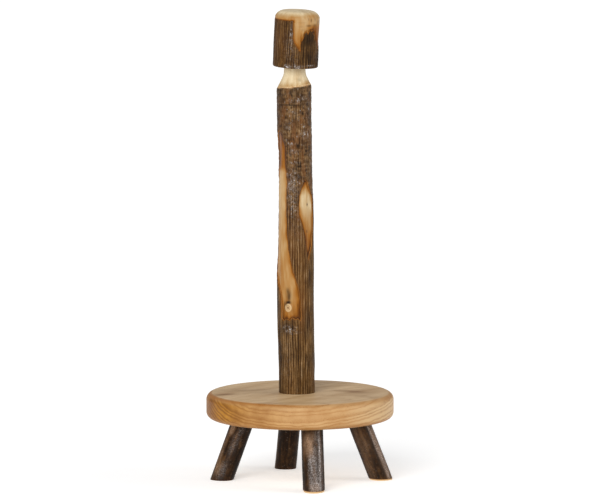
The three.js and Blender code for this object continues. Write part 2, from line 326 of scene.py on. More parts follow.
def ash_wood():
    """Rings that run through the plank, amber at its worn side and pale on its flat top."""
    n = Nodes("lacquered_ash")
    along = n.dot(n.place, along_grain)
    across = n.math("SUBTRACT", n.dot(n.place, across_grain), RING_TROUGH)
    height = n.dot(n.place, (0.0, 0.0, 1.0))
    trough = n.times(n.times(across, across), 0.5 / RING_RADIUS)
    level = n.math("SUBTRACT", n.math("SUBTRACT", height, trough), n.times(along, RING_CLIMB))
    stretched = n.scaled(n.place, (1, 1, 1), (0, 0, -GRAIN_HEADING))
    fibre = n.scaled(stretched, (0.12, 1, 1))
    swerve = n.math("MULTIPLY_ADD", n.noise(fibre, 45, 2), 5.0 * MM, level)
    swerve = n.math("MULTIPLY_ADD", n.noise(n.place, 26, 1), 5.0 * MM, swerve)
    swerve = n.math("MULTIPLY_ADD", n.noise(n.place, 120, 1), 2.2 * MM, swerve)
    uneven = n.math("MULTIPLY_ADD", n.wander(swerve, 95, 1), 1.5, n.math("DIVIDE", swerve, RING_PITCH))
    ring = n.math("FRACT", uneven)
    year = n.wander(n.math("FLOOR", uneven), 1.37, 0)
    band = n.ramp(ring, [(0.0, 1.0), (0.14, 0.75), (0.36, 0.12), (0.7, 0.0), (0.9, 0.4), (1.0, 1.0)])
    band = n.times(band, n.math("MULTIPLY_ADD", year, 2.2, -0.2, clamp=True))
    normal = n.tree.nodes["Texture Coordinate"].outputs["Normal"]
    amber_side = n.ramp(n.dot(normal, AMBER_SIDE), [(0.2, 0.0), (0.74, 0.5), (0.93, 1.0)])
    upward = n.dot(normal, (0.0, 0.0, 1.0))
    flat = n.ramp(n.math("ABSOLUTE", upward), [(0.93, 0.0), (0.99, 1.0)])
    tone = n.noise(fibre, 60, 3, 0.6)
    pale = n.ramp(tone, [(0.3, (168, 124, 77)), (0.7, (194, 156, 108))])
    honey = n.ramp(tone, [(0.3, (130, 80, 14)), (0.7, (172, 118, 38))])
    wood = n.mix(amber_side, pale, honey)
    wood = n.mix(n.ramp(n.dot(normal, PALE_SIDE), [(0.78, 0.0), (0.99, 0.7)]), wood, (208, 178, 134))
    line = n.mix(amber_side, (152, 98, 44), (104, 58, 10))
    wood = n.mix(n.times(band, n.math("MULTIPLY_ADD", amber_side, 0.3, 0.55)), wood, line)
    # Faces that turn down are mixed towards dark amber: painted shade on the plank's lower round-over.
    below = n.ramp(n.times(upward, -1.0), [(0.2, 0.0), (0.8, 0.6)])
    wood = n.mix(below, wood, (146, 92, 28))
    worn = n.math("DIVIDE", n.dot(n.place, (-0.82, -0.57, 0.0)), BASE_RADIUS)
    arris = n.ramp(upward, [(0.55, 0.0), (0.82, 1.0), (0.97, 0.7), (0.995, 0.0)])
    arris = n.times(arris, n.ramp(worn, [(0.35, 0.0), (0.85, 0.75)]))
    top = n.ramp(tone, [(0.25, (184, 150, 107)), (0.75, (220, 192, 152))])
    top = n.mix(n.times(band, 0.3), top, (160, 118, 72))
    for place, size, heading, share in TOP_STREAKS:
        worked = n.ramp(tone, [(0.3, share), (0.7, 0.3 * share)])
        streak = n.times(n.nearness(place, size, heading), worked)
        top = n.mix(streak, top, (128, 88, 48))
    wood = n.mix(n.times(flat, 0.92), wood, top)
    wood = n.mix(arris, wood, (158, 100, 40))
    pores = n.noise(n.scaled(stretched, (0.05, 1, 1)), 1500, 2, 0.6)
    pores = n.ramp(pores, [(0.36, 1.0), (0.46, 0.0)])
    pores = n.times(pores, n.math("MULTIPLY_ADD", band, 0.7, 0.15))
    wood = n.mix(n.times(pores, 0.5), wood, (100, 60, 22))
    n.bump(n.math("SUBTRACT", n.times(band, -0.25), pores), 0.35, 0.12 * MM)
    return n.surface(Base_Color=wood, Roughness=0.45, Specular_IOR_Level=0.14)


dress(base, ash_wood(), 35)
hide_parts("base_plank")
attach(base, "stand")


# ---------------------------------------------------------------------------------------
# Legs: four sticks with thin, smooth bark, bored-and-tenoned at a splay into the plank and
# glued. They are cut level at the floor, and the cut edge is eased with a file.
# ---------------------------------------------------------------------------------------

LEG_RADIUS = 10.5 * MM
LEG_BARK = 1.1 * MM
LEG_TOP = BASE_UNDERSIDE - GLUE_LINE
LEG_SIDES = 128
LEG_ROUNDS = (11, 11)
LEG_CORE_ROUNDS = (10,)
LEG_RELIEF = 0.16 * MM
LEG_WOOD_SPARE = 0.04 * MM  # the wood stands this far inside its bark
BARK_OFF_FLOOR = 0.05 * MM
LEG_LENGTH = 105 * MM  # before it is cut level at both ends
LEG_OVER = 15 * MM  # how much of that length starts above the plank's underside
TENON_ROOT = 12 * MM  # the tenon's cylinder starts this far down inside the stick
FILED_SLOPE = 0.42
RINGS_OUT = 25 * MM  # growth rings are counted out from a stick's middle to here


def waves(place, pitch, seed=0):
    """Smooth random waves of about -1 to 1, with a pitch in millimetres along each axis."""
    scaled = place / (np.asarray(pitch) * MM)
    cell = np.floor(scaled).astype(np.int64)
    part = scaled - cell
    fade = part**3 * (part * (part * 6 - 15) + 10)
    total = np.zeros(len(place))
    for corner in itertools.product((0, 1), repeat=3):
        at = cell + corner
        code = (at[:, 0] * 73856093) ^ (at[:, 1] * 19349663) ^ (at[:, 2] * 83492791) ^ (seed * 7919)
        code = (code ^ (code >> 13)) * 1274126177
        code ^= code >> 16
        slope = np.stack([code & 1023, (code >> 10) & 1023, (code >> 20) & 1023], 1) / 511.5 - 1
        near = np.prod(np.where(corner, fade, 1 - fade), 1)
        total += near * (slope * (part - corner)).sum(1)
    return total * 1.5


def on_bar(bearing, height, radius):
    """Places on a plain round bar, where a stick's random waves are read."""
    return np.stack([radius * np.sin(bearing), -radius * np.cos(bearing), height], 1)


def step(value, low, high):
    """A smooth step from 0 to 1 as the value goes from low to high."""
    share = np.clip((value - low) / (high - low), 0, 1)
    return share * share * (3 - 2 * share)


def spot(bearing, height, radius, at, size):
    """A soft spot on a stick: 1 in the middle, and about 0 a size away. It is placed by its
    (bearing, height) and sized by its (half width, half height), in degrees and millimetres."""
    across = (bearing - math.radians(at[0]) + math.pi) % (2 * math.pi) - math.pi
    away = (across * radius / (size[0] * MM)) ** 2 + ((height - at[1] * MM) / (size[1] * MM)) ** 2
    return np.exp(-1.5 * away**1.5)


def spots(bearing, height, radius, marks):
    """Adds up soft spots, each given as its place, its size and its share."""
    return sum(share * spot(bearing, height, radius, at, size) for at, size, share in marks)


def points(piece):
    """Where a piece's vertices are, one row each."""
    places = np.empty(len(piece.data.vertices) * 3)
    piece.data.vertices.foreach_get("co", places)
    return places.reshape(-1, 3)


def bar(name, sides, rounds, surface, placement):
    """A round bar, cut across in one or more rounds of so many cuts to each stretch, then
    given its surface and put in its place."""
    piece = add("cylinder", name, vertices=sides, radius=1, depth=1, location=(0, 0, 0.5))
    settle(piece)
    edit(piece)
    for count in rounds:
        pick("EDGE", lambda e: abs(e.verts[0].co.z - e.verts[1].co.z) > 1e-5)
        bpy.ops.mesh.subdivide(number_cuts=count)
    edit(piece, False)
    places = points(piece)
    bearing = np.arctan2(places[:, 0], -places[:, 1])
    radius, height = surface(bearing, places[:, 2])
    piece.data.vertices.foreach_set("co", on_bar(bearing, height, radius).ravel())
    piece.data.transform(placement)
    piece.data.update()
    return piece


def from_axis(piece, placement):
    """The bearing, height and distance from its axis of each vertex of a stick."""
    back = np.array(placement.inverted())
    own = points(piece) @ back[:3, :3].T + back[:3, 3]
    return np.arctan2(own[:, 0], -own[:, 1]), own[:, 2], np.hypot(own[:, 0], own[:, 1])


def paint(piece, **masks):
    """Stores masks from 0 to 1 on a piece's vertices, for its material to read."""
    for name, values in masks.items():
        mask = piece.data.attributes.new(name, "FLOAT", "POINT")
        values = np.broadcast_to(np.clip(values, 0, 1), len(piece.data.vertices))
        mask.data.foreach_set("value", values.astype(np.float32))


def saw(piece, height, keep_below):
    """Cuts a piece off level and closes the cut."""
    edit(piece)
    bpy.ops.mesh.select_all(action="SELECT")
    bpy.ops.mesh.bisect(
        plane_co=(0, 0, height),
        plane_no=(0, 0, 1),
        threshold=1e-6,
        use_fill=True,
        clear_outer=keep_below,
        clear_inner=not keep_below,
    )
    edit(piece, False)


# Each leg's radius over the bark, how far it is out of round, how much of its foot is filed,
# and its spots of grey, of bare tan and of black. Each spot is given as (bearing, height
# above the floor), (half width, half height), share. The grey spots are silver bark and
# painted highlights together, and the black spots at a leg's sides are painted shade.
LEG_LOOKS = {
    "leg_front": {
        "radius": 10.4,
        "out_of_round": (0.35, 3, 40),
        "filed": 2.2,
        # Most of the grey on this leg is painted highlight, the long stripe at 41 degrees above all.
        "grey": [
            ((41, 28), (2.1, 44), 1.3), ((8, 22), (5.5, 26), 0.7), ((-14, 26), (3, 14), 0.5),
            ((15, 6), (7, 7), 0.7), ((25, 50), (4, 8), 0.5), ((62, 24), (1.2, 30), 0.5),
        ],
        "tan": [((-24, 43), (5.5, 12), 1.1), ((-4, 50), (5, 7), 0.55), ((10, 5), (6, 5), 0.4)],
        # The dark spots at -62, -80 and 74 degrees are painted shade at the leg's sides.
        "dark": [
            ((-62, 18), (4.2, 20), 1.0), ((-80, 40), (3, 30), 0.7), ((26, 38), (1.6, 26), 0.7),
            ((74, 30), (2.6, 50), 0.8),
        ],
    },
    "leg_right": {
        "radius": 10.2,
        "out_of_round": (0.3, 4, 10),
        "filed": 1.9,
        # On this leg the grey spots and the tan stripe at 60 degrees make a painted highlight band down
        # its right side.
        "grey": [((46, 44), (2.2, 22), 1.2), ((56, 14), (2.4, 20), 1.1), ((70, 40), (3, 30), 0.8)],
        "tan": [((-25, 38), (8, 22), 0.34), ((-45, 12), (6, 14), 0.22), ((60, 30), (6, 50), 0.6)],
        # The dark spot at -80 degrees is painted shade at the leg's left side.
        "dark": [((-80, 25), (3, 50), 0.6), ((32, 30), (1.4, 50), 0.9), ((5, 15), (4, 16), 0.35)],
    },
    "leg_back": {
        "radius": 10.3,
        "out_of_round": (0.25, 3, 70),
        "filed": 0.5,
        "grey": [((160, 30), (5, 18), 0.5), ((230, 20), (4, 12), 0.4)],
        "tan": [((200, 40), (4, 10), 0.3), ((80, 30), (2, 50), 0.35), ((-78, 30), (2.4, 50), 0.4)],
        "dark": [((0, 40), (14, 60), 0.75)],
    },
    "leg_left": {
        "radius": 10.5,
        "out_of_round": (0.35, 3, 0),
        "filed": 0.6,
        "grey": [((-8, 36), (4, 13), 0.36), ((-24, 10), (5, 9), 0.34), ((10, 48), (4, 6), 0.2)],
        "tan": [((-47, 50), (3, 7), 1.8), ((-66, 26), (3, 26), 0.5), ((-48, 12), (4, 8), 0.45)],
        # The dark spots at 45 and 75 degrees are painted shade on the leg's right side.
        "dark": [
            ((45, 30), (6, 50), 0.95), ((75, 30), (6, 50), 0.9), ((-34, 34), (2.4, 12), 0.7),
            ((8, 24), (6, 30), 0.3),
        ],
    },
}


def leg_swell(bearing, height, amount, lobes, turn, seed):
    """How far a leg's bark stands out from a true round, without its fine ridges."""
    place = on_bar(bearing, height, LEG_RADIUS)
    swell = amount * MM * np.cos(lobes * bearing + math.radians(turn))
    return swell + 0.3 * MM * waves(place, (14, 14, 30), seed)


def leg_ridges(bearing, height, seed):
    """The fine lengthwise ridges of smooth bark, from -1 in a crease to 1 on a ridge."""
    place = on_bar(bearing, height, LEG_RADIUS)
    long = waves(place, (2.6, 2.6, 30), seed + 1)
    short = waves(place, (1.3, 1.3, 5), seed + 2)
    warts = waves(place, (2.2, 2.2, 1.6), seed + 3)
    return 0.6 * long + 0.35 * short + 0.3 * warts


def leg_bark_material():
    """Smooth dark bark with silver scuffs, painted highlights, shade and glints, tan rubbed places and
    a filed edge at the foot.
    """
    n = Nodes("smooth_bark")
    ridge, peel, grey, tan, dark = [
        n.painted(mask) for mask in ("ridge", "peel", "grey", "tan", "dark")
    ]
    fine = n.noise(n.place, 900, 4, 0.65)
    blotch = n.noise(n.place, 120, 3, 0.6)
    bark = n.ramp(ridge, [(0.15, (20, 10, 3)), (0.5, (56, 34, 14)), (0.85, (98, 68, 38))])
    bark = n.mix(n.ramp(blotch, [(0.4, 0.0), (0.65, 0.6)]), bark, (24, 16, 10))
    # Grey spots: silver-grey bark, and painted highlights where the lamps show along a leg.
    silver = n.ramp(fine, [(0.35, (80, 70, 62)), (0.58, (150, 142, 138)), (0.72, (214, 210, 210))])
    bark = n.mix(n.times(grey, n.ramp(fine, [(0.3, 0.4), (0.6, 1.0)])), bark, silver)
    bare = n.ramp(fine, [(0.35, (104, 78, 56)), (0.65, (156, 127, 102))])
    bark = n.mix(tan, bark, bare)
    # Dark spots: dark bark, and painted shade at a leg's left and right sides.
    bark = n.mix(n.times(dark, 0.85), bark, (14, 9, 6))
    # Painted glints: small grey-white specks over the whole leg.
    painted_glints = n.ramp(n.noise(n.place, 620, 1, 0.5), [(0.68, 0.0), (0.74, 0.35)])
    bark = n.mix(painted_glints, bark, (110, 100, 92))
    inner = n.ramp(peel, [(0.08, (60, 36, 14)), (0.16, (160, 112, 62)), (0.4, (206, 174, 130))])
    bark = n.mix(n.ramp(peel, [(0.06, 0.0), (0.14, 1.0)]), bark, inner)
    n.bump(n.math("ADD", n.times(fine, 0.6), n.noise(n.place, 2400, 2)), 0.5, 0.12 * MM)
    gloss = n.ramp(n.noise(n.place, 300, 2), [(0.35, 0.34), (0.7, 0.5)])
    return n.surface(Base_Color=bark, Roughness=gloss, Specular_IOR_Level=0.09)


def stick_wood_material():
    """Peeled wood, from cream through tan to dark brown as its stain goes from 0 to 1."""
    n = Nodes("stick_sapwood")
    stain, dark, knot, radius = [n.painted(mask) for mask in ("stain", "dark", "knot", "radius")]
    fibre = n.noise(n.scaled(n.place, (1, 1, 0.06)), 900, 4, 0.6)
    cloud = n.noise(n.scaled(n.place, (1, 1, 0.25)), 110, 3, 0.55)
    tone = n.sway(n.sway(stain, cloud, 0.42), fibre, 0.22)
    wood = n.ramp(tone, [
        (0.0, (216, 198, 162)), (0.2, (186, 158, 116)), (0.42, (164, 122, 70)),
        (0.62, (146, 92, 28)), (0.8, (114, 64, 8)), (1.0, (60, 31, 6)),
    ])
    rings = n.math("FRACT", n.math("MULTIPLY_ADD", cloud, 0.5, n.times(radius, 18.0)))
    rings = n.ramp(rings, [(0.0, 1.0), (0.2, 0.2), (0.8, 0.0), (1.0, 1.0)])
    ends = n.dot(n.tree.nodes["Texture Coordinate"].outputs["Normal"], (0.0, 0.0, 1.0))
    ends = n.ramp(n.math("ABSOLUTE", ends), [(0.8, 0.0), (0.97, 1.0)])
    wood = n.mix(n.times(n.times(rings, ends), 0.35), wood, (150, 104, 56))
    heart = n.ramp(knot, [
        (0.0, (86, 58, 34)), (0.1, (132, 98, 62)), (0.18, (192, 160, 116)),
        (0.26, (160, 124, 82)), (0.36, (206, 176, 132)), (0.5, (150, 106, 58)),
    ])
    wood = n.mix(n.ramp(knot, [(0.48, 1.0), (0.56, 0.0)]), wood, heart)
    wood = n.mix(dark, wood, (38, 22, 7))
    n.bump(n.math("ADD", fibre, n.times(rings, ends)), 0.3, 0.1 * MM)
    return n.surface(Base_Color=wood, Roughness=0.42, Specular_IOR_Level=0.11)


smooth_bark = leg_bark_material()
stick_wood = stick_wood_material()

for seed, (name, bearing, out, heading, splay) in enumerate(LEGS):
    looks = LEG_LOOKS[name]
    placement = leg_frame(bearing, out, heading, splay)
    swell_by = (*looks["out_of_round"], seed * 10)

    def leg_surface(reach, inset, filed):
        def surface(turn, share):
            height = (share - 1) * reach + LEG_OVER
            radius = looks["radius"] * MM + leg_swell(turn, height, *swell_by) - inset
            if filed:
                radius = radius + LEG_RELIEF * leg_ridges(turn, height, seed * 10)
                up = on_bar(turn, height, radius) @ np.array(placement)[2, :3] + placement[2][3]
                radius = radius - FILED_SLOPE * np.clip(filed - up, 0, filed)
            return radius, height

        return surface

    outer = leg_surface(LEG_LENGTH, 0, looks["filed"] * MM)
    inner = leg_surface(LEG_LENGTH, LEG_BARK + LEG_WOOD_SPARE, 0)
    hollow = leg_surface(LEG_LENGTH + 15 * MM, LEG_BARK, 0)
    bark = bar(f"{name}_stick_bark", LEG_SIDES, LEG_ROUNDS, outer, placement)
    saw(bark, LEG_TOP, True)
    saw(bark, BARK_OFF_FLOOR, False)
    core = bar("core", LEG_SIDES, LEG_CORE_ROUNDS, hollow, placement)
    cut(bark, core)
    wood = bar(f"{name}_stick_wood", LEG_SIDES, LEG_CORE_ROUNDS, inner, placement)
    saw(wood, LEG_TOP, True)
    saw(wood, 0, False)
    tenon = add(
        "cylinder",
        "tenon",
        vertices=DRILL_SIDES,
        radius=TENON_RADIUS,
        depth=TENON_LENGTH + TENON_ROOT,
    )
    edit(tenon)
    pick("EDGE", lambda e: all(v.co.z > 0 for v in e.verts))
    bpy.ops.mesh.bevel(offset=1 * MM, segments=2, profile=0.5, affect="EDGES")
    edit(tenon, False)
    settle(tenon, placement @ Matrix.Translation((0, 0, (TENON_LENGTH - TENON_ROOT) / 2)))
    cut(wood, tenon, how="UNION")

    turn, height, radius = from_axis(bark, placement)
    up = points(bark)[:, 2]
    full = looks["radius"] * MM + leg_swell(turn, height, *swell_by)
    ridge = leg_ridges(turn, height, seed * 10)
    facing = turn + math.radians(heading)
    patchy = 0.75 + 0.5 * waves(on_bar(turn, height, LEG_RADIUS), (3, 3, 9), seed + 5)
    masks = {
        mask: patchy * spots(facing, up, LEG_RADIUS, looks[mask])
        for mask in ("grey", "tan", "dark")
    }
    peel = (full + LEG_RELIEF * ridge - radius) / LEG_BARK
    paint(bark, ridge=0.5 + 0.5 * ridge, peel=peel - 0.04, **masks)
    turn, height, radius = from_axis(wood, placement)
    paint(wood, stain=0.3, dark=0, knot=1, radius=radius / RINGS_OUT)
    for part, finish, material in ((bark, "bark", smooth_bark), (wood, "wood", stick_wood)):
        dress(part, material, 50)
        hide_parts(f"{name}_{finish}")
        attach(part, "stand")


# ---------------------------------------------------------------------------------------
# Post: one stick of furrowed bark over pale sapwood. Its head is turned by a tenon cutter to
# a cone and a round tenon, and a knife has peeled two windows in the bark down to the wood.
# ---------------------------------------------------------------------------------------

POST_FOOT = BASE_TOP + 0.3 * MM
POST_LEAN = math.radians(0.37)
POST_BARK = 1.25 * MM
POST_RADIUS = 17 * MM  # near enough everywhere for laying out marks and waves
POST_RELIEF = 0.34 * MM
POST_SUNK = 0.25 * MM
BARK_OFF_WOOD = 0.03 * MM
PILOT_RADIUS = 3.45 * MM
PILOT_DEPTH = 64.5 * MM
BARK_TOP = 290.1 * MM
NECK_END = 305.6 * MM
POST_END = 340.1 * MM
POST_TENON = 10.0 * MM
NECK_BLEND = 1.6  # the larger, the sharper the turn from the cone to the tenon
CONE_SLOPE = math.tan(math.radians(27.5))
CONE_FOOT = 16.8 * MM  # the cone's radius at the top of the bark
POST_SIDES = 240
POST_ROUNDS = (16, 16)
CORE_SIDES = 144
CORE_ROUNDS = (12, 12)
FURROW_PITCH = 2.3 * MM
RING_MARK = 275.3 * MM
OVERLAP = 8 * MM  # the bark's bar reaches this far past the cone's foot
post_frame = Matrix.Translation((POST_X, 0, POST_FOOT)) @ Matrix.Rotation(-POST_LEAN, 4, "Y")

# Height above the plank, then the stick's radius over its bark to the left and to the right.
POST_GIRTH = np.array(
    [
        (0, 16.8, 17.0), (15, 16.8, 16.9), (26, 17.0, 17.2), (49, 17.5, 16.7), (72, 17.9, 16.5),
        (95, 18.1, 16.8), (118, 18.2, 16.8), (141, 17.6, 16.9), (164, 17.4, 17.0),
        (187, 17.4, 16.4), (210, 17.2, 15.9), (233, 16.9, 15.8), (256, 17.1, 15.6),
        (283, 17.1, 15.5), (350, 16.8, 15.5),
    ]
)
# The peeled windows: bearing, then height above the plank in millimetres.
STRIP = [
    (-66, 250), (-48, 246), (-36, 236), (-32, 224), (-33, 212), (-31, 199), (-33, 184), (-33, 166),
    (-31, 153), (-27, 139), (-19, 129), (-9, 115), (0, 107), (8, 98), (13, 87), (15, 78), (15, 70),
    (4, 72.5), (-5, 71), (-12, 74), (-22, 70.5), (-33, 72), (-45, 70.5), (-52, 72), (-53, 84),
    (-57, 96), (-72, 104), (-95, 116), (-108, 141), (-110, 176), (-110, 226), (-98, 246),
]
LEAF = [
    (33, 203.5), (27, 199), (20, 195), (15, 189), (12, 180), (13.5, 171), (21, 163), (28, 155.5),
    (34, 145), (40, 135), (45.5, 127), (52, 134), (66, 141), (74, 155), (76, 173), (73, 187),
    (61, 191), (51, 196), (43, 202),
]


def outside(outline, bearing, height, radius):
    """Distance outside an outline drawn on a stick, in metres. It is negative inside."""
    corners = np.array([(math.radians(a) * radius, h * MM) for a, h in outline])
    places = np.stack([bearing * radius, height], 1)
    nearest = np.full(len(places), 1e9)
    inside = np.zeros(len(places), bool)
    for start, end in zip(corners, np.roll(corners, -1, 0)):
        side = end - start
        share = np.clip(((places - start) @ side) / (side @ side), 0, 1)
        nearest = np.minimum(nearest, np.linalg.norm(places - start - share[:, None] * side, axis=1))
        crosses = (start[1] > places[:, 1]) != (end[1] > places[:, 1])
        reach = start[0] + (places[:, 1] - start[1]) / (side[1] if side[1] else 1e-12) * side[0]
        inside ^= crosses & (places[:, 0] < reach)
    return np.where(inside, -nearest, nearest)


def hump(value, middle, width):
    """1 where a value is the middle one, and about 0 two widths from it."""
    return np.exp(-(((value - middle) / width) ** 2))


def fade(distance, width):
    """1 at a distance of 0 or less, and dying away over a few widths."""
    return np.exp(-np.maximum(distance, 0) / width)


def post_girth(bearing, height):
    """The post's radius over its bark, without the furrows."""
    left = np.interp(height / MM, POST_GIRTH[:, 0], POST_GIRTH[:, 1]) * MM
    right = np.interp(height / MM, POST_GIRTH[:, 0], POST_GIRTH[:, 2]) * MM
    girth = (left + right) / 2 + (right - left) / 2 * np.sin(bearing)
    place = on_bar(bearing, height, POST_RADIUS)
    return girth + 0.25 * MM * waves(place, (18, 18, 40), 50)


def furrows(bearing, height, radius, seed, wrinkled):
    """Furrowed bark, from about -1 at the bottom of a furrow to 1 on a ridge."""
    place = on_bar(bearing, height, radius)
    count = round(math.tau * radius / FURROW_PITCH)
    swerve = 0.7 * waves(place, (9, 9, 70), seed)
    swerve = swerve + 0.22 * waves(place, (4, 4, 18), seed + 5)
    even = np.cos(count * bearing + math.tau * swerve)
    strength = 0.46 + 0.5 * waves(place, (5, 5, 20), seed + 6)
    long = 1 - 2.8 * np.abs(waves(place, (2.0, 2.0, 50), seed + 1))
    short = waves(place, (1.2, 1.2, 10), seed + 2)
    flakes = waves(place, (4.5, 4.5, 2.2), seed + 3)
    crumbs = waves(place, (1.5, 1.5, 1.5), seed + 4)
    straight = even * strength + 0.36 * long + 0.42 * short + 0.2 * crumbs
    broken = 0.3 * even * strength + 0.2 * long + 0.25 * short + 0.95 * flakes + 0.5 * crumbs
    return straight * (1 - wrinkled) + broken * wrinkled


def post_wrinkled(bearing, height):
    """Where the post's bark is wrinkled across rather than furrowed along."""
    high = step(height, 150 * MM, 205 * MM) * 0.85
    collar = spot(bearing, height, POST_RADIUS, (-20, 62), (11, 7))
    return np.clip(high + collar, 0, 1)


def post_windows(bearing, height):
    """Distances outside the strip and the leaf, each with the ragged edge of torn bark."""
    ragged = on_bar(bearing, height, POST_RADIUS)
    tear = 0.5 * waves(ragged, (3.2, 3.2, 5), 61)
    tear = tear + 0.35 * waves(ragged, (1.3, 1.3, 6), 62)
    strip = outside(STRIP, bearing, height, POST_RADIUS)
    leaf = outside(LEAF, bearing, height, POST_RADIUS)
    return strip + tear * MM, leaf + 0.6 * tear * MM


def neck(height):
    """Radius of the tenon cutter's cone and tenon at a height above the plank."""
    cone = CONE_FOOT - (height - BARK_TOP) * CONE_SLOPE
    tenon = POST_TENON + 0.35 * MM * fade(height - NECK_END, 3 * MM)
    blend = np.logaddexp(cone / MM * NECK_BLEND, tenon / MM * NECK_BLEND) / NECK_BLEND * MM
    return np.where(height > BARK_TOP - OVERLAP, blend, 1.0)


KNOT = (-28, 82.4 * MM)
KNOT_RADIUS = 4.1 * MM


def post_knot(bearing, height):
    """Distance from the middle of the knot, in knot radii."""
    across = (bearing - math.radians(KNOT[0])) * POST_RADIUS
    return np.hypot(across, (height - KNOT[1]) * 0.95) / KNOT_RADIUS


def post_wood_radius(bearing, height):
    """The wood under the bark, with the knife's flats, the scoop, the knot and its crack."""
    girth = post_girth(bearing, height) - POST_BARK
    strip, leaf = post_windows(bearing, height)
    place = on_bar(bearing, height, POST_RADIUS)
    pared = 0.22 * MM * waves(place, (7, 7, 26), 55) - 0.2 * MM
    flats = np.min(
        [
            (girth - 0.45 * MM) / np.maximum(np.cos(bearing - math.radians(a)), 0.5)
            for a in (-100, -72, -45, -18)
        ],
        0,
    )
    strip_in = step(-strip, 0.5 * MM, 3 * MM)
    girth = girth + strip_in * (np.minimum(flats - girth, 0.3 * MM) * 0.6 + pared)
    girth = girth - 1.1 * MM * strip_in * spot(bearing, height, POST_RADIUS, (-86, 226), (18, 26))
    scoop = -0.9 * MM * step(-leaf, 0, 6 * MM)
    girth = girth + step(-leaf, 0.3 * MM, 2 * MM) * scoop
    knot = post_knot(bearing, height)
    girth = girth + 0.5 * MM * np.exp(-(knot**4)) - 0.25 * MM * hump(knot, 1.05, 0.14)
    girth = girth + 0.2 * MM * hump(knot, 0.5, 0.12)
    crack = spot(bearing, height, POST_RADIUS, (-26, 94), (2.6, 7))
    return girth - 0.3 * MM * crack


def peeled_bark(full, wood, window):
    """The bark's radius: full outside a peeled window, and sunk below the wood inside it."""
    gone = step(-window, -1.0 * MM, 0.7 * MM)
    return full * (1 - gone) + (wood - 0.9 * MM) * gone


def post_bark_surface(turn, share):
    height = share * (BARK_TOP + OVERLAP) - POST_SUNK
    full = post_girth(turn, height)
    relief = POST_RELIEF * furrows(turn, height, POST_RADIUS, 70, post_wrinkled(turn, height))
    ring = -0.35 * MM * hump(height, RING_MARK, 0.8 * MM)
    strip, leaf = post_windows(turn, height)
    wood = post_wood_radius(turn, height)
    radius = peeled_bark(full + relief + ring, wood, np.minimum(strip, leaf))
    return np.minimum(radius, neck(height)), height


def post_wood_surface(turn, share):
    height = share * (POST_END + POST_SUNK) - POST_SUNK
    end = np.sqrt(np.clip(1 - ((height - POST_END + 1.2 * MM) / (1.3 * MM)).clip(0, 1) ** 2, 0, 1))
    radius = np.minimum(post_wood_radius(turn, height), neck(height) - 0.02 * MM)
    return radius - 1.2 * MM * (1 - end), height


def core_surface(turn, share):
    height = share * (POST_END + 12 * MM) - 6 * MM
    return post_wood_radius(turn, height) + BARK_OFF_WOOD, height


def bark_material():
    """Bark dark in its furrows, worn to grey or rust in places, with painted highlights on the grey and
    painted shade at its sides.
    """
    n = Nodes("furrowed_bark")
    ridge, peel, grey, dark, warm, bare = [
        n.painted(mask) for mask in ("ridge", "peel", "grey", "dark", "warm", "bare")
    ]
    streak = n.noise(n.scaled(n.place, (1, 1, 0.1)), 800, 3, 0.65)
    blotch = n.noise(n.scaled(n.place, (1, 1, 0.5)), 95, 4, 0.6)
    crumb = n.noise(n.place, 1100, 3, 0.7)
    level = n.sway(n.sway(ridge, streak, 0.7), crumb, 0.35)
    bark = n.ramp(level, [
        (0.06, (20, 10, 3)), (0.34, (62, 39, 14)), (0.58, (98, 69, 34)),
        (0.8, (130, 99, 62)), (1.0, (158, 132, 98)),
    ])
    bark = n.mix(n.ramp(blotch, [(0.42, 0.0), (0.68, 0.6)]), bark, (38, 24, 10))
    rust = n.mix(0.5, bark, (112, 68, 28))
    bark = n.mix(warm, bark, rust)
    # Grey places: silver-grey bark, and painted highlights where light catches the bark's crumbs.
    silver = n.ramp(crumb, [(0.35, (74, 62, 52)), (0.55, (120, 108, 98)), (0.72, (190, 184, 180))])
    bark = n.mix(n.times(grey, n.ramp(level, [(0.3, 0.3), (0.7, 1.0)])), bark, silver)
    # Painted glints: near-white specks where the bark is grey.
    painted_glint = n.ramp(n.noise(n.place, 620, 3, 0.6), [(0.56, 0.0), (0.66, 1.0)])
    painted_glint = n.times(n.ramp(grey, [(0.4, 0.0), (0.9, 1.0)]), painted_glint)
    bark = n.mix(painted_glint, bark, (206, 198, 194))
    # Dark places: dark bark and cracks, and painted shade at a stick's left and right sides.
    bark = n.mix(n.times(dark, 0.85), bark, (14, 9, 5))
    inner = n.ramp(peel, [
        (0.15, (44, 25, 9)), (0.4, (112, 64, 16)), (0.75, (142, 88, 32)),
        (1.0, (162, 116, 62)),
    ])
    bark = n.mix(n.ramp(peel, [(0.3, 0.0), (0.48, 1.0)]), bark, inner)
    bark = n.mix(bare, bark, n.ramp(streak, [(0.35, (176, 138, 90)), (0.65, (210, 184, 144))]))
    height = n.math("MULTIPLY_ADD", crumb, 0.7, n.times(streak, 0.8))
    n.bump(height, 0.6, 0.25 * MM)
    gloss = n.ramp(n.noise(n.place, 420, 2), [(0.35, 0.34), (0.7, 0.6)])
    return n.surface(Base_Color=bark, Roughness=gloss, Specular_IOR_Level=0.08)


furrowed_bark = bark_material()

post_bark = bar("post_stick_bark", POST_SIDES, POST_ROUNDS, post_bark_surface, post_frame)
core = bar("core", CORE_SIDES, CORE_ROUNDS, core_surface, post_frame)
cut(post_bark, core)
post_wood = bar("post_stick_wood", POST_SIDES, POST_ROUNDS, post_wood_surface, post_frame)
pilot = add("cylinder", "pilot", vertices=48, radius=PILOT_RADIUS, depth=PILOT_DEPTH)
settle(pilot, Matrix.Translation((POST_X, 0, BASE_UNDERSIDE + 0.3 * MM + PILOT_DEPTH / 2)))
cut(post_wood, pilot)
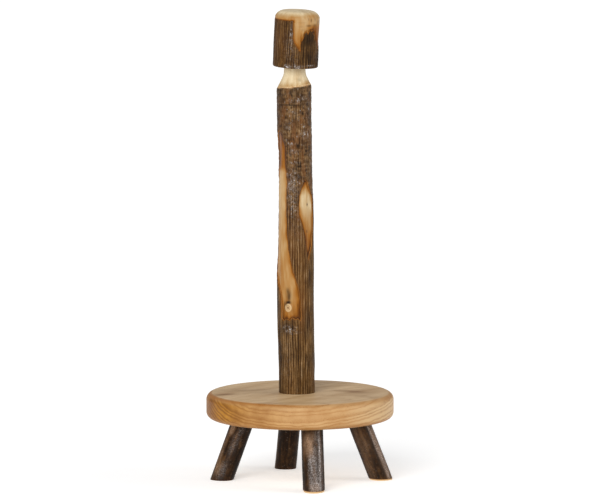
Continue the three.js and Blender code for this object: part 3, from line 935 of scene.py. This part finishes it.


# Grey, dark and warm places on the bark, as place, size and share. The grey places are
# silver-grey bark and painted highlights together.
POST_GREY = [
    ((-15, 279.5), (2, 2.2), 1.4), ((6, 279), (3, 2), 1.0), ((28, 281.5), (9, 2.2), 0.9),
    ((-6, 268), (5, 3), 0.5), ((-22, 256), (5, 5), 0.8), ((10, 261), (1.6, 4), 0.8),
    ((31, 255), (2, 2), 0.9), ((38, 247), (6, 5), 0.85), ((9, 245.5), (1.8, 1.6), 1.0),
    ((-31, 241), (1.8, 2.2), 1.0), ((-12, 237.5), (6, 1.5), 0.9), ((-8, 231), (8, 2.4), 0.85),
    ((-6, 220.5), (7, 1.6), 0.9), ((22, 206.7), (4, 1.2), 0.7), ((-12, 206), (8, 10), 0.7),
    ((-8, 190), (8, 12), 0.65), ((-10, 176), (5, 8), 0.6), ((5, 203), (9, 2), 0.4),
    ((-26, 63), (9, 3), 1.1), ((-20, 59), (10, 2), 0.7), ((60, 270), (5, 20), 0.35),
    ((-5, 268), (12, 1.4), 0.35), ((0, 160), (6, 12), 0.2), ((-30, 30), (6, 30), 0.2),
    ((150, 250), (12, 20), 0.5), ((200, 150), (12, 40), 0.4), ((110, 90), (10, 25), 0.3),
    ((230, 40), (10, 20), 0.3),
]
# The dark places at the post's left and right sides, at bearings near -75 and from 50 to 80 degrees,
# are painted shade; the others are dark bark and cracks.
POST_DARK = [
    ((-74, 268), (9, 30), 0.5), ((27, 267), (1.6, 2.2), 1.0), ((12, 236.5), (1.6, 3), 1.0),
    ((-32, 250), (4, 10), 0.25), ((12, 217), (2.4, 1.6), 0.9), ((-14, 275.3), (12, 0.8), 1.0),
    ((60, 284), (5, 4), 0.5), ((3, 265), (0.8, 6), 0.7), ((80, 120), (5, 80), 0.5),
    ((38, 62), (4, 9), 0.35), ((-78, 85), (4, 16), 0.75), ((50, 112), (3, 14), 0.5),
    ((-40, 62), (8, 4), 0.35), ((130, 200), (9, 40), 0.4), ((-75, 20), (8, 60), 0.4),
    ((66, 20), (5, 50), 0.15),
]
POST_WARM = [
    ((-50, 262), (8, 20), 0.5), ((0, 240), (9, 16), 0.5), ((35, 262), (7, 12), 0.5),
    ((0, 145), (10, 30), 0.25), ((25, 110), (8, 40), 0.3), ((20, 80), (4, 30), 0.5),
    ((170, 100), (15, 60), 0.5), ((-15, 145), (4, 20), 0.3),
]
turn, height, radius = from_axis(post_bark, post_frame)
full = post_girth(turn, height)
relief = furrows(turn, height, POST_RADIUS, 70, post_wrinkled(turn, height))
place = on_bar(turn, height, POST_RADIUS)
patchy = waves(place, (1.7, 1.7, 2.0), 80)
scales = waves(place, (5, 5, 12), 86)
cracks = waves(place, (1.7, 1.7, 6), 87)
grey = spots(turn, height, POST_RADIUS, POST_GREY)
high = step(height, 120 * MM, 190 * MM)
strip, leaf = post_windows(turn, height)
rim = fade(np.minimum(strip, leaf), 1.2 * MM)
paint(
    post_bark,
    ridge=0.5 + 0.42 * relief,
    peel=(full + POST_RELIEF * relief - radius) / POST_BARK,
    # Grey: silver-grey bark, and painted highlights in the speckled patches up the post.
    grey=grey * np.clip(0.4 + 1.6 * patchy, 0, 1) + (0.1 + 0.65 * step(patchy, 0.5, 0.62)) * high,
    # Dark: dark bark and cracks, with painted shade at the post's sides.
    dark=spots(turn, height, POST_RADIUS, POST_DARK) + 0.75 * step(cracks, 0.26, 0.5) * high,
    warm=spots(turn, height, POST_RADIUS, POST_WARM) + 0.8 * rim + 0.8 * step(scales, 0.0, 0.45) * high,
    bare=step((full - radius) / POST_BARK, 0.3, 0.55) * (height > BARK_TOP - 3 * MM),
)

turn, height, radius = from_axis(post_wood, post_frame)
strip, leaf = post_windows(turn, height)
h = height / MM
strip_stain = np.interp(
    h,
    [66, 73, 84, 91, 116, 146, 171, 206, 211, 216, 236, 249],
    [0.8, 0.66, 0.56, 0.48, 0.42, 0.38, 0.28, 0.26, 0.34, 0.72, 0.74, 0.8],
)
leaf_stain = np.interp(
    h,
    [128, 138, 151, 163, 178, 189, 196, 203],
    [0.86, 0.68, 0.6, 0.42, 0.15, 0.16, 0.4, 0.7],
)
neck_stain = np.interp(h, [290.1, 292, 296, 301, 320], [0.54, 0.3, 0.08, 0.02, 0.05])
neck_stain = neck_stain + 0.35 * spot(turn, height, 15 * MM, (60, 294), (7, 4))
stain = np.where(h > BARK_TOP / MM - 3, neck_stain, np.where(strip < leaf, strip_stain, leaf_stain))
place = on_bar(turn, height, POST_RADIUS)
uneven = 1.1 + 1.1 * waves(place, (6, 6, 11), 82)
edge = fade(-np.minimum(strip, leaf), 1.3 * MM * np.clip(uneven, 0.3, 2.5))
stain = stain + 0.48 * edge * (h < BARK_TOP / MM - 3)
stain = stain + 0.1 * waves(place, (3, 3, 16), 81)
# Cracks, stains and pin knots in the peeled wood, and darker places towards the post's left side at -95
# and -88 degrees.
POST_MARKS = [
    ((-88, 222), (4.0, 13), 1.0), ((-26, 94), (3.4, 7.5), 0.55), ((-25, 92), (1.2, 6), 0.3),
    ((-31, 99), (1.8, 3), 0.3), ((-28, 87.4), (3.6, 1.3), 0.95), ((-35, 85.5), (1.6, 1.6), 0.6),
    ((-42, 85), (1.0, 4), 0.5), ((-8, 78), (3, 6), 0.15), ((5, 84.5), (0.5, 2.6), 0.55),
    ((49, 180), (1.1, 1.6), 1.0), ((45, 154.5), (1.0, 1.2), 0.9), ((20, 298.5), (3.4, 1.9), 0.3),
    ((-44, 80), (1.5, 8), 0.35), ((-95, 180), (2, 10), 0.3),
]
paint(
    post_wood,
    stain=stain,
    dark=spots(turn, height, POST_RADIUS, POST_MARKS),
    knot=post_knot(turn, height) / 2,
    radius=radius / RINGS_OUT,
)
for part, finish, material in ((post_bark, "bark", furrowed_bark), (post_wood, "wood", stick_wood)):
    dress(part, material, 60)
    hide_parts(f"post_{finish}")
    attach(part, "stand")


# ---------------------------------------------------------------------------------------
# Screw: a zinc-plated countersunk wood screw, driven up through the plank into the post. It
# pulls the post's foot down on to the glue. The frame's own solid is the shape shown.
# ---------------------------------------------------------------------------------------


def zinc_material():
    n = Nodes("zinc_plate")
    scuff = n.noise(n.place, 1400, 3, 0.6)
    metal = n.ramp(scuff, [(0.3, (150, 152, 156)), (0.7, (206, 206, 204))])
    n.bump(scuff, 0.2, 0.05 * MM)
    rough = n.ramp(scuff, [(0.3, 0.28), (0.7, 0.45)])
    return n.surface(Base_Color=metal, Metallic=1.0, Roughness=rough)


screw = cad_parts["post_screw"]
zinc = zinc_material()
for socket in screw.material_slots:
    socket.material = zinc


# ---------------------------------------------------------------------------------------
# Cap: a short piece of a thicker stick, bored blind from below so that it drops over the
# tenon and lifts off by hand. Its top is sanded round through the bark, one flank peeled.
# ---------------------------------------------------------------------------------------

CAP_RADIUS = 21.2 * MM
CAP_LENGTH = 53.0 * MM
CAP_SEAT = BARK_TOP + 20.3 * MM
CAP_OFFSET = 0.6 * MM
CAP_BARK = 1.5 * MM
CAP_ROUND = 9.0 * MM
CAP_FLAT = 12.9 * MM
CAP_SIDES = 280
CAP_ROUNDS = (13, 13)
CAP_CORE_ROUNDS = (10, 10)
CAP_RELIEF = 0.36 * MM
CAP_WRINKLED = 0.08
BORE_RADIUS = 10.35 * MM
BORE_DEPTH = 29.3 * MM
BORE_RUN = 8 * MM  # the boring bit starts this far below the cap
CAP_LEAN = math.radians(2.8)
CAP_NOD = math.radians(1.5)
cap_frame = (
    post_frame
    @ Matrix.Translation((CAP_OFFSET, 0, CAP_SEAT))
    @ Matrix.Rotation(CAP_LEAN, 4, "Y")
    @ Matrix.Rotation(CAP_NOD, 4, "X")
)
# The peeled flank: bearing, then height above the cap's rim in millimetres.
FLANK = [
    (-9, 62), (-10, 44), (-9, 36), (-8, 28), (-4, 24), (2, 21), (7, 17.5), (10, 23), (13, 27.5),
    (19, 31), (26, 34), (33, 35.5), (41, 36), (49, 34.5), (56, 30), (64, 23), (72, 19), (86, 16),
    (98, 22), (108, 34), (112, 46), (112, 62),
]
CAP_BARE = 45.6 * MM  # the sanding has taken all the bark above this


def cap_girth(bearing, height):
    """The cap's radius over its bark, without the furrows."""
    place = on_bar(bearing, height, CAP_RADIUS)
    return CAP_RADIUS + 0.1 * MM - 0.004 * height + 0.3 * MM * waves(place, (20, 20, 40), 90)


def cap_window(bearing, height):
    """Distance outside the wood that shows: the peeled flank and the sanded crown."""
    ragged = on_bar(bearing, height, CAP_RADIUS)
    teeth = 3.2 * waves(ragged, (1.7, 1.7, 12), 91) * step(bearing, 0.02, 0.25)
    teeth = teeth * step(-bearing, -1.15, -0.9)
    tear = 0.4 * waves(ragged, (3, 3, 6), 92)
    flank = outside(FLANK, bearing, height, CAP_RADIUS) + teeth * MM
    return np.minimum(flank, CAP_BARE + 0.3 * MM * np.sin(2 * bearing) - height) + tear * MM


def cap_wood_radius(bearing, height):
    """The wood under the cap's bark. It swells out where it shows, and meets the crown."""
    girth = cap_girth(bearing, height) - CAP_BARK
    place = on_bar(bearing, height, CAP_RADIUS)
    pared = 0.2 * MM * waves(place, (8, 8, 20), 93) + 0.95 * MM
    wood = girth + step(-cap_window(bearing, height), 0.5 * MM, 4 * MM) * pared
    peeled = step(-outside(FLANK, bearing, height, CAP_RADIUS), 0, 3 * MM)
    sanded = step(height, CAP_BARE - 2.2 * MM - 20 * MM * peeled, CAP_BARE)
    return wood + sanded * (girth + CAP_BARK - wood)


def cap_profile(share):
    """Height, and the most the radius may be there, along the side, round and flat top."""
    side, turn = 0.82, 0.94
    angle = np.clip((share - side) / (turn - side), 0, 1) * math.pi / 2
    straight = CAP_LENGTH - CAP_ROUND
    height = np.where(share < side, share / side * straight, straight + CAP_ROUND * np.sin(angle))
    limit = CAP_FLAT + (CAP_RADIUS + 0.5 * MM - CAP_FLAT) * np.cos(angle)
    inwards = np.clip((share - turn) / (1 - turn), 0, 1)
    limit = limit - inwards * (CAP_FLAT - 0.6 * MM)
    crown = 0.35 * MM * (1 - (1 - inwards) ** 2)
    foot = np.clip(1.1 * MM - height, 0, 1.1 * MM)
    limit = limit - 0.5 * MM * step(height, 1.4 * MM, 0) - 0.3 * foot
    return height + crown, limit


def cap_bark_surface(turn, share):
    height, limit = cap_profile(share)
    relief = CAP_RELIEF * furrows(turn, height, CAP_RADIUS, 100, CAP_WRINKLED)
    wood = cap_wood_radius(turn, height)
    radius = peeled_bark(cap_girth(turn, height) + relief, wood, cap_window(turn, height))
    return np.minimum(radius, limit), height


def cap_wood_surface(turn, share):
    height, limit = cap_profile(share)
    return np.minimum(cap_wood_radius(turn, height), limit), height


def cap_core_surface(turn, share):
    height, limit = cap_profile(share)
    reach = np.where(share < 0.5, height * 1.3 - 6 * MM, height + 0.04 * MM)
    limit = np.where(share < 0.5, 1.0, limit + 0.04 * MM)
    return np.minimum(cap_wood_radius(turn, height) + BARK_OFF_WOOD, limit), reach


cap_bark = bar("cap_stick_bark", CAP_SIDES, CAP_ROUNDS, cap_bark_surface, cap_frame)
core = bar("core", CORE_SIDES, CAP_CORE_ROUNDS, cap_core_surface, cap_frame)
cut(cap_bark, core)
cap_wood = bar("cap_stick_wood", CAP_SIDES, CAP_ROUNDS, cap_wood_surface, cap_frame)
bore = add("cylinder", "bore", vertices=128, radius=BORE_RADIUS, depth=BORE_DEPTH + BORE_RUN)
settle(bore, post_frame @ Matrix.Translation((0, 0, CAP_SEAT + BORE_DEPTH / 2 - BORE_RUN / 2)))
cut(cap_wood, bore)

# The same places on the cap's bark, and the checks and stains in its bare wood. As on the
# post, the grey places are silver bark and painted highlights together, and the dark places
# at the cap's left and right sides are painted shade.
CAP_GREY = [
    ((-20, 2), (3.6, 2.2), 2.4), ((8, 1.6), (4.5, 2), 2.4), ((-3, 3), (3, 2), 0.5),
    ((40, 3), (9, 1.2), 0.9), ((-13, 33), (2.0, 14), 0.75), ((-24, 22), (5, 16), 0.3),
    ((-8, 12), (6, 10), 0.4), ((-60, 25), (5, 18), 0.12), ((150, 20), (12, 15), 0.4),
    ((220, 30), (12, 12), 0.35), ((-100, 12), (8, 10), 0.3),
]
# The dark places at bearings -85 to -75 and 70 to 80 degrees are painted shade at the cap's sides.
CAP_DARK = [
    ((70, 14), (8, 20), 0.25), ((-75, 30), (8, 30), 0.2), ((22, 26), (5, 8), 0.55),
    ((42, 29), (8, 8), 0.5), ((45, 12), (9, 9), 0.3), ((80, 8), (8, 8), 0.5),
    ((-85, 20), (4, 30), 0.4), ((30, 10), (9, 6), 0.25), ((180, 30), (9, 14), 0.4),
]
CAP_WARM = [
    ((-45, 25), (9, 20), 0.35), ((-70, 20), (6, 20), 0.3), ((60, 12), (6, 8), 0.3),
    ((140, 30), (15, 15), 0.5),
]
turn, height, radius = from_axis(cap_bark, cap_frame)
relief = furrows(turn, height, CAP_RADIUS, 100, CAP_WRINKLED)
patchy = waves(on_bar(turn, height, CAP_RADIUS), (1.8, 1.8, 2.4), 94)
window = cap_window(turn, height)
paint(
    cap_bark,
    ridge=0.36 + 0.4 * relief,
    peel=(cap_girth(turn, height) + CAP_RELIEF * relief - radius) / CAP_BARK,
    grey=spots(turn, height, CAP_RADIUS, CAP_GREY) * np.clip(0.55 + 1.2 * patchy, 0, 1),
    dark=spots(turn, height, CAP_RADIUS, CAP_DARK),
    warm=spots(turn, height, CAP_RADIUS, CAP_WARM) + 0.7 * fade(window, 1.0 * MM),
    bare=0,
)
turn, height, radius = from_axis(cap_wood, cap_frame)
window = cap_window(turn, height)
h = height / MM
crown_stain = np.interp(h, [45, 46.5, 49, 50.6, 52, 53.3], [0.56, 0.46, 0.34, 0.16, 0.05, 0.02])
crown_stain = crown_stain + 0.16 * spot(turn, height, CAP_RADIUS, (48, 48), (14, 6))
flank_stain = np.interp(h, [17, 26, 34, 42, 46], [0.56, 0.5, 0.42, 0.36, 0.34])
flank_stain = flank_stain + 0.28 * step(turn, math.radians(22), math.radians(45)) * step(-h, -44, -38)
peeled = step(-outside(FLANK, turn, height, CAP_RADIUS), 0, 3 * MM)
stain = crown_stain + peeled * (np.minimum(flank_stain, crown_stain) - crown_stain)
stain = np.where(h < 43.4, flank_stain, stain)
stain = stain + 0.3 * fade(-window, 0.9 * MM) * (h < 46)
stain = stain + 0.12 * waves(on_bar(turn, height, CAP_RADIUS), (4, 4, 9), 95)
CAP_MARKS = [
    ((38, 46), (0.7, 2.2), 0.7), ((52, 46.5), (0.7, 2.2), 0.6), ((32, 41), (3.5, 1.2), 0.5),
    ((52, 41), (3, 1.6), 0.45), ((15, 37), (2.5, 1.5), 0.15), ((75, 44), (2, 2), 0.4),
    ((30, 47), (0.6, 1.6), 0.4), ((10, 40), (3, 1), 0.15), ((66, 43), (1.4, 3), 0.4),
    ((12, 44), (5, 0.8), 0.12),
]
paint(
    cap_wood,
    stain=stain,
    dark=spots(turn, height, CAP_RADIUS, CAP_MARKS),
    knot=1,
    radius=radius / RINGS_OUT,
)
for part, finish, material in ((cap_bark, "bark", furrowed_bark), (cap_wood, "wood", stick_wood)):
    dress(part, material, 60)
    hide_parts(f"cap_{finish}")
    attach(part, "cap")


# ---------------------------------------------------------------------------------------
# The set: a pale floor, soft studio light and the camera.
# ---------------------------------------------------------------------------------------

floor = add("plane", "floor", size=60)
settle(floor)
n = Nodes("pale_floor")
floor.data.materials.append(
    n.surface(
        Base_Color=(0.8, 0.8, 0.8, 1),
        Roughness=0.9,
        Specular_IOR_Level=0.1,
        Emission_Color=(1, 1, 1, 1),
        Emission_Strength=0.42,
    )
)

world = bpy.data.worlds.new("studio")
world.use_nodes = True
world.node_tree.nodes["Background"].inputs["Color"].default_value = (1, 1, 1, 1)
world.node_tree.nodes["Background"].inputs["Strength"].default_value = 0.42
bpy.context.scene.world = world


def sun(name, heading, height, strength, spread):
    """A distant soft light from a bearing (from the front towards +X) and a height."""
    light = bpy.data.lights.new(name, "SUN")
    light.energy = strength
    light.angle = math.radians(spread)
    lamp = bpy.data.objects.new(name, light)
    a, e = math.radians(heading), math.radians(height)
    towards = Vector((math.sin(a) * math.cos(e), -math.cos(a) * math.cos(e), math.sin(e)))
    lamp.rotation_euler = towards.to_track_quat("Z", "Y").to_euler()
    bpy.context.scene.collection.objects.link(lamp)


sun("key", -20, 26, 2.3, 40)
sun("rim", 80, 24, 0.85, 30)

CAMERA_DISTANCE = 7.0
CAMERA_HEIGHT = 1.0863
AIM_HEIGHT = 0.2197
CAMERA_LENS = 447
camera = bpy.data.objects.new("camera", bpy.data.cameras.new("camera"))
camera.data.lens = CAMERA_LENS
camera.data.sensor_width = 36
camera.location = (0, -CAMERA_DISTANCE, CAMERA_HEIGHT)
camera.rotation_euler = (math.atan2(CAMERA_DISTANCE, CAMERA_HEIGHT - AIM_HEIGHT), 0, 0)
camera.data.clip_start, camera.data.clip_end = 0.1, 200
bpy.context.scene.collection.objects.link(camera)
bpy.context.scene.camera = camera
bpy.context.scene.view_settings.view_transform = "Standard"
